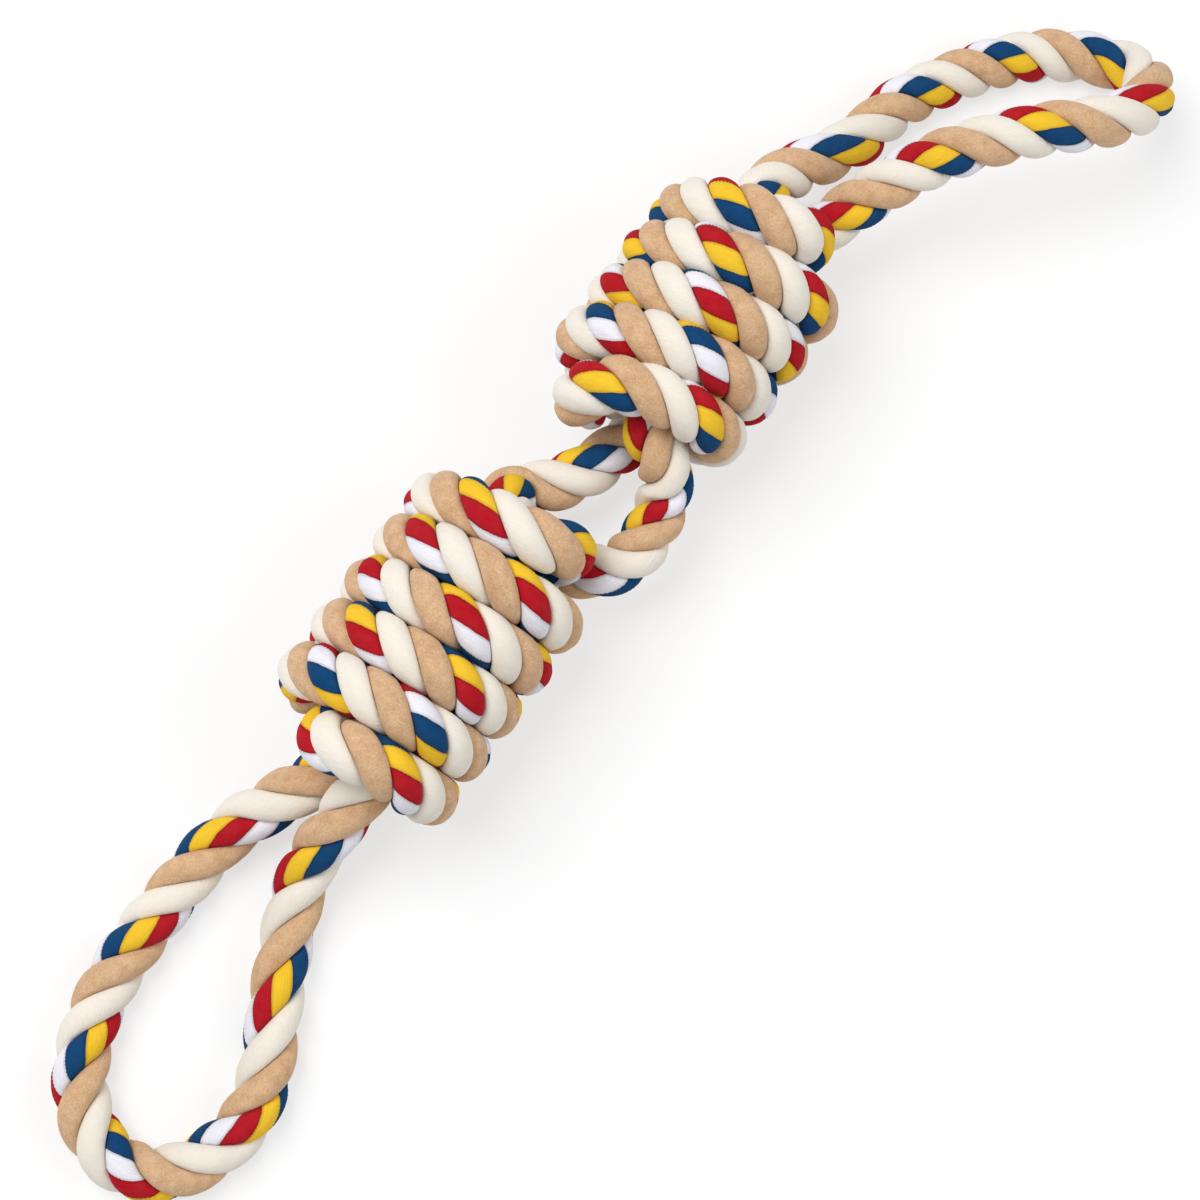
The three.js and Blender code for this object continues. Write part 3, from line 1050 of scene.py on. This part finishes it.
# %% Divide the legs and the passes that lead to them
on_upper = ("ride", "upper_knot")
on_lower = ("ride", "lower_knot")
near_lower = bend_between("lower_knot", "legs", LEG_BENDS["lower"])
near_upper = bend_between("legs", "upper_knot", LEG_BENDS["upper"])
upper_out = winding_end_place("upper")
lower_out = winding_end_place("lower")
leg_a_start = place("lower out end")
leg_a_end = place("upper in start")
leg_a_split = crossing(LEG_SPLIT, leg_a_start, leg_a_end)
leg_b_start = place("upper out end")
leg_b_end = place("lower in start")
leg_b_split = crossing(LEG_SPLIT, leg_b_start, leg_b_end)
add_stretch("upper_core_out", upper_out, leg_b_start, "upper_core_out", CORE_STEP, on_upper)
add_stretch("lower_core_out", lower_out, SAMPLES, "lower_core_out", CORE_STEP, on_lower)
add_stretch("lower_core_tail", 0.0, leg_a_start, "lower_core_out", CORE_STEP, on_lower)
add_stretch("leg_a_lower", leg_a_start, leg_a_split, "leg_a", FREE_STEP, near_lower)
add_stretch("leg_a_upper", leg_a_split, leg_a_end, "leg_a", FREE_STEP, near_upper)
add_stretch("leg_b_upper", leg_b_start, leg_b_split, "leg_b", FREE_STEP, near_upper)
add_stretch("leg_b_lower", leg_b_split, leg_b_end, "leg_b", FREE_STEP, near_lower)
print("the ring is divided into", len(stretches), "stretches")

# %% [markdown]
# Rope
#
# Now the strands are made, three for every stretch, each as a closed piece of its own. A strand that
# ran right round the ring would be one piece, but then no part of it could stay with its own knot or
# loop. Neighbouring stretches share their last section, so no seam shows. A piece on a knot or a loop
# is parented to the body that carries it, the others stay where they are laid, the solid each stands
# for is hidden, and each gets its material.

# %% Lay the rope
for name, start, end, node, step, carrier in stretches:
    knot_name = name.split("_")[0] if name.endswith("winding") else None
    crest = WINDING_CREST if knot_name else FREE_CREST
    crest = CORE_CREST if "core" in name else crest
    for strand in STRANDS:
        piece = make_strand(name + "_" + strand, strand, start, end, step, crest, knot_name)
        piece.data.materials.append(COTTONS[strand])
        if carrier[0] == "ride":
            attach(piece, carrier[1])
        else:
            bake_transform(piece)
        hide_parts(node)

# %% [markdown]
# Loops
#
# The two loops are free rope: they leave a knot, turn and go back into it. A rope keeps its length
# however it lies. The necks and legs are shorter, and lie across their joints.

# %% [markdown]
# Floor
#
# The toy lies on white paper that keeps a soft shadow. Enough light to turn all the paper white would
# wash out the cotton. So part of what the camera sees of the paper is a white glow, which lights
# nothing, and the rest is real light, which the toy can shade. Gloss and glass would see the glow
# too.

# %% Tell which rays show the background


def add_linked(tree, kind, links, **values):
    node = add_node(tree, kind, **values)
    for socket, output in links.items():
        tree.links.new(output, node.inputs[socket])
    return node


def background_rays(tree):
    """One for rays from the camera and for rays that show the background in gloss or glass."""
    rays = add_node(tree, "ShaderNodeLightPath").outputs
    total = rays["Is Camera Ray"]
    for name in ("Is Glossy Ray", "Is Transmission Ray"):
        either = add_linked(tree, "ShaderNodeMath", {0: total, 1: rays[name]}, operation="MAXIMUM")
        total = either.outputs[0]
    return total


print("the background is shown to camera, glossy and transmission rays")

# %% Lay the floor
FLOOR_SIZE = 12
PAPER = 0.9
PAPER_ROUGHNESS = 0.9
WHITE = (1.0, 1.0, 1.0, 1.0)
SHADOW_SHARE = 0.4
FLOOR_GLOW = 1.0
bpy.ops.object.select_all(action="DESELECT")
bpy.ops.mesh.primitive_plane_add(size=FLOOR_SIZE, location=(0, 0, 0))
floor = bpy.context.object
floor.name = "floor"
paper = bpy.data.materials.new("paper")
paper.use_nodes = True
tree = paper.node_tree
lit_paper = tree.nodes["Principled BSDF"]
lit_paper.inputs["Base Color"].default_value = (PAPER, PAPER, PAPER, 1.0)
lit_paper.inputs["Roughness"].default_value = PAPER_ROUGHNESS
glow = add_node(tree, "ShaderNodeEmission")
glow.inputs["Color"].default_value = WHITE
glow.inputs["Strength"].default_value = FLOOR_GLOW
glow_share = add_linked(tree, "ShaderNodeMath", {0: background_rays(tree)}, operation="MULTIPLY")
glow_share.inputs[1].default_value = 1 - SHADOW_SHARE
paper_links = {
    0: glow_share.outputs[0],
    1: lit_paper.outputs["BSDF"],
    2: glow.outputs["Emission"],
}
paper_mix = add_linked(tree, "ShaderNodeMixShader", paper_links)
tree.links.new(paper_mix.outputs["Shader"], tree.nodes["Material Output"].inputs["Surface"])
floor.data.materials.append(paper)
print("floor is", FLOOR_SIZE, "m square")

# %% [markdown]
# Light
#
# The photo has the even light of a white tent, a little stronger from one side. A single lamp would
# leave hard shadows in the grooves. The world lights the toy from all round, and two wide soft boxes
# give the strands their form. The camera sees the world in the tone of the far floor, so that no
# horizon shows.

# %% Light the toy from all round
WORLD_LIGHT = 0.43
WORLD_SEEN = SHADOW_SHARE * PAPER * WORLD_LIGHT + (1 - SHADOW_SHARE) * FLOOR_GLOW
world = bpy.data.worlds.new("studio")
bpy.context.scene.world = world
world.use_nodes = True
tree = world.node_tree
sky_light = tree.nodes["Background"]
sky_light.inputs["Color"].default_value = WHITE
sky_light.inputs["Strength"].default_value = WORLD_LIGHT
sky_seen = add_node(tree, "ShaderNodeBackground")
sky_seen.inputs["Color"].default_value = WHITE
sky_seen.inputs["Strength"].default_value = WORLD_SEEN
sky_links = {
    0: background_rays(tree),
    1: sky_light.outputs["Background"],
    2: sky_seen.outputs["Background"],
}
sky_mix = add_linked(tree, "ShaderNodeMixShader", sky_links)
tree.links.new(sky_mix.outputs["Shader"], tree.nodes["World Output"].inputs["Surface"])
print("the camera sees the world at a strength of", round(WORLD_SEEN, 2))

# %% Add two soft boxes
SOFT_BOX_SIZE = 0.9
SOFT_BOXES = {"key": ((-0.2, 0.7, 1.3), 16.5), "fill": ((0.6, -0.8, 1.0), 5.0)}


def soft_box(name, lamp_place, power):
    data = bpy.data.lights.new(name, "AREA")
    data.energy = power
    data.size = SOFT_BOX_SIZE
    lamp = bpy.data.objects.new(name, data)
    bpy.context.scene.collection.objects.link(lamp)
    backward = np.array(lamp_place) / np.linalg.norm(lamp_place)
    right = np.cross(np.array([0.0, 1.0, 0.0]), backward)
    right = right / np.linalg.norm(right)
    turn = np.column_stack([right, np.cross(backward, right), backward])
    matrix = Matrix(turn.tolist()).to_4x4()
    matrix.translation = lamp_place
    lamp.matrix_world = matrix


for lamp_name, (lamp_place, power) in SOFT_BOXES.items():
    soft_box(lamp_name, lamp_place, power)
    print(lamp_name, "soft box gives", power, "W")

# %% [markdown]
# Sizes
#
# The strands stand a little proud of the solid model's tubes, as a real rope's do. The toy could be
# measured in the viewport.

# %% Finish
bpy.context.view_layer.update()
